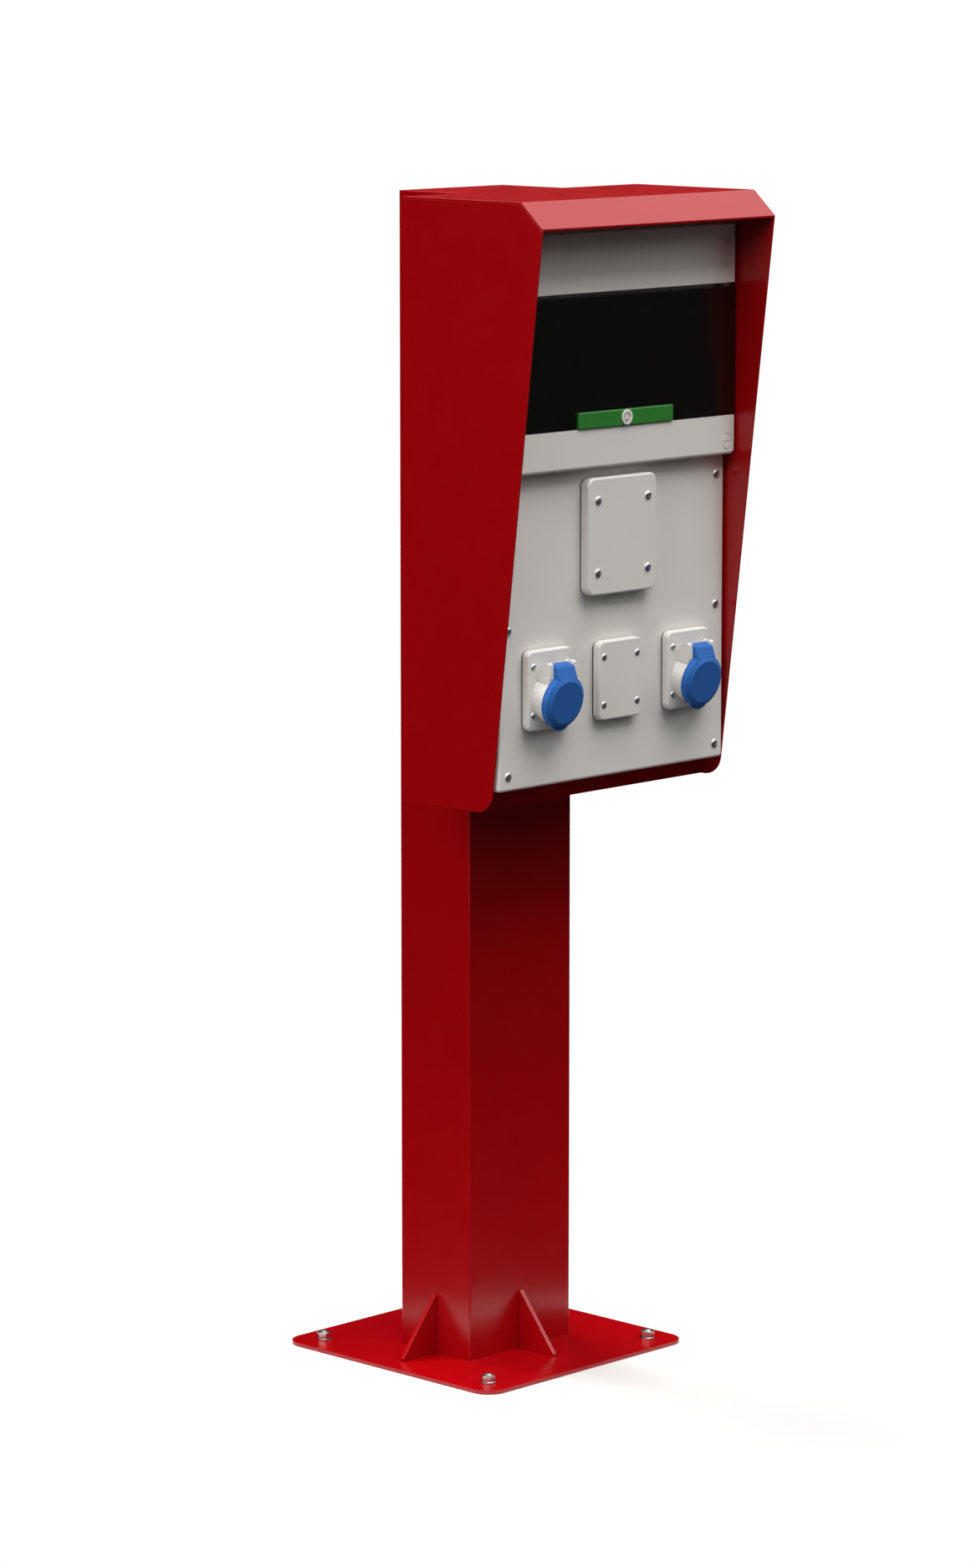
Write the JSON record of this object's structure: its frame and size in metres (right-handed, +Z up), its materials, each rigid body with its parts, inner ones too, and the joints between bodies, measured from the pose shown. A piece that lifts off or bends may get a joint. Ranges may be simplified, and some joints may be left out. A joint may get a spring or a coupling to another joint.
{
  "type": "power pedestal",
  "caption": "Floor-standing red sheet-steel power pedestal with a hooded box, hinged dark window, sloped industrial sockets with sprung blue lids and blanked outlets",
  "frame": {"origin": "On the column's axis, at the underside of the base plate", "axes": "+X right seen from the front, +Y to the back, +Z up; the covers face -Y"},
  "size_m": [0.34, 0.3908, 1.205],
  "materials": {
    "red_paint": "gloss",
    "grey_plastic": "satin",
    "dark_window": "gloss",
    "green_plastic": "satin",
    "blue_plastic": "satin",
    "white_plastic": "satin",
    "black_rubber": "matte",
    "chrome_steel": "polished",
    "zinc_steel": "satin",
    "brass": "satin"
  },
  "bodies": {
    "frame": {"anchor_studs": "zinc_steel", "base_plate": "red_paint", "breaker_bodies": "white_plastic", "cable_gland": "grey_plastic", "cable_grommet": "black_rubber", "column": "red_paint", "column_cap": "red_paint", "contact_carriers": "grey_plastic", "contact_cores": "grey_plastic", "contact_sleeves": "brass", "cover_screws": "chrome_steel", "cover_seals": "black_rubber", "device_panel": "grey_plastic", "din_rail": "zinc_steel", "enclosure_base": "grey_plastic", "enclosure_screws": "zinc_steel", "enclosure_trough": "grey_plastic", "flange_gasket": "black_rubber", "flange_screws": "chrome_steel", "gusset_back": "red_paint", "gusset_front": "red_paint", "gusset_left": "red_paint", "gusset_right": "red_paint", "hood_back_panel": "red_paint", "hood_bolts": "zinc_steel", "hood_left_panel": "red_paint", "hood_right_panel": "red_paint", "hood_roof": "red_paint", "large_blank_gasket": "black_rubber", "large_blank_plate": "grey_plastic", "large_blank_screws": "chrome_steel", "left_socket_housing": "grey_plastic", "lid_pins": "zinc_steel", "lid_springs": "zinc_steel", "lower_cover": "grey_plastic", "m8_nuts": "zinc_steel", "m8_washers": "zinc_steel", "mounting_plate": "red_paint", "outlet_gaskets": "black_rubber", "rcd_body": "white_plastic", "right_socket_housing": "grey_plastic", "small_blank_plate": "grey_plastic", "terminal_bars": "brass", "upper_cover": "grey_plastic", "window_hinge_pins": "zinc_steel"},
    "window": {"window_flap": "dark_window", "latch_bar": "green_plastic"},
    "window_lock": {"lock_cylinder": "grey_plastic"},
    "left_lid": {"left_socket_lid": "blue_plastic", "left_lid_seal": "black_rubber"},
    "right_lid": {"right_socket_lid": "blue_plastic", "right_lid_seal": "black_rubber"},
    "rcd_toggle_body": {"rcd_toggle": "dark_window"},
    "rcd_button_body": {"rcd_test_button": "blue_plastic"},
    "breaker_1_toggle_body": {"breaker_1_toggle": "dark_window"},
    "breaker_2_toggle_body": {"breaker_2_toggle": "dark_window"},
    "cover_lock_1_body": {"cover_lock_1": "grey_plastic"},
    "cover_lock_2_body": {"cover_lock_2": "grey_plastic"},
    "cover_lock_3_body": {"cover_lock_3": "grey_plastic"},
    "cover_lock_4_body": {"cover_lock_4": "grey_plastic"}
  },
  "joints": [
    {"name": "window_hinge", "type": "hinge", "parent": "frame", "child": "window", "pos_m": [0, -0.188, 1.1069], "axis": [-1, 0, 0], "range_deg": [0, 90]},
    {"name": "window_lock_turn", "type": "hinge", "parent": "window", "child": "window_lock", "pos_m": [0, -0.1922, 0.9855], "axis": [0, 1, 0], "range_deg": [0, 90]},
    {"name": "left_lid_hinge", "type": "hinge", "parent": "frame", "child": "left_lid", "pos_m": [-0.1025, -0.19997, 0.74496], "axis": [-1, 0, 0], "range_deg": [0, 115], "stiffness_Nm_per_rad": 0.03, "springref_deg": -57.3},
    {"name": "right_lid_hinge", "type": "hinge", "parent": "frame", "child": "right_lid", "pos_m": [0.1025, -0.19997, 0.74496], "axis": [-1, 0, 0], "range_deg": [0, 115], "stiffness_Nm_per_rad": 0.03, "springref_deg": -57.3},
    {"name": "cover_lock_1_turn", "type": "hinge", "parent": "frame", "child": "cover_lock_1_body", "pos_m": [-0.1533, -0.192, 0.9503], "axis": [0, 1, 0], "range_deg": [-90, 0]},
    {"name": "cover_lock_2_turn", "type": "hinge", "parent": "frame", "child": "cover_lock_2_body", "pos_m": [-0.1533, -0.192, 1.1583], "axis": [0, 1, 0], "range_deg": [-90, 0]},
    {"name": "cover_lock_3_turn", "type": "hinge", "parent": "frame", "child": "cover_lock_3_body", "pos_m": [0.1533, -0.192, 0.9503], "axis": [0, 1, 0], "range_deg": [0, 90]},
    {"name": "cover_lock_4_turn", "type": "hinge", "parent": "frame", "child": "cover_lock_4_body", "pos_m": [0.1533, -0.192, 1.1583], "axis": [0, 1, 0], "range_deg": [0, 90]},
    {"name": "rcd_switch", "type": "hinge", "parent": "frame", "child": "rcd_toggle_body", "pos_m": [-0.023, -0.1735, 1.045], "axis": [1, 0, 0], "range_deg": [0, 76]},
    {"name": "breaker_1_switch", "type": "hinge", "parent": "frame", "child": "breaker_1_toggle_body", "pos_m": [0.0086, -0.1735, 1.045], "axis": [1, 0, 0], "range_deg": [0, 76]},
    {"name": "breaker_2_switch", "type": "hinge", "parent": "frame", "child": "breaker_2_toggle_body", "pos_m": [0.0261, -0.1735, 1.045], "axis": [1, 0, 0], "range_deg": [0, 76]},
    {"name": "rcd_test_press", "type": "slide", "parent": "frame", "child": "rcd_button_body", "axis": [0, 1, 0], "range_m": [0, 0.0015], "stiffness_N_per_m": 600, "springref_m": -0.0005}
  ]
}
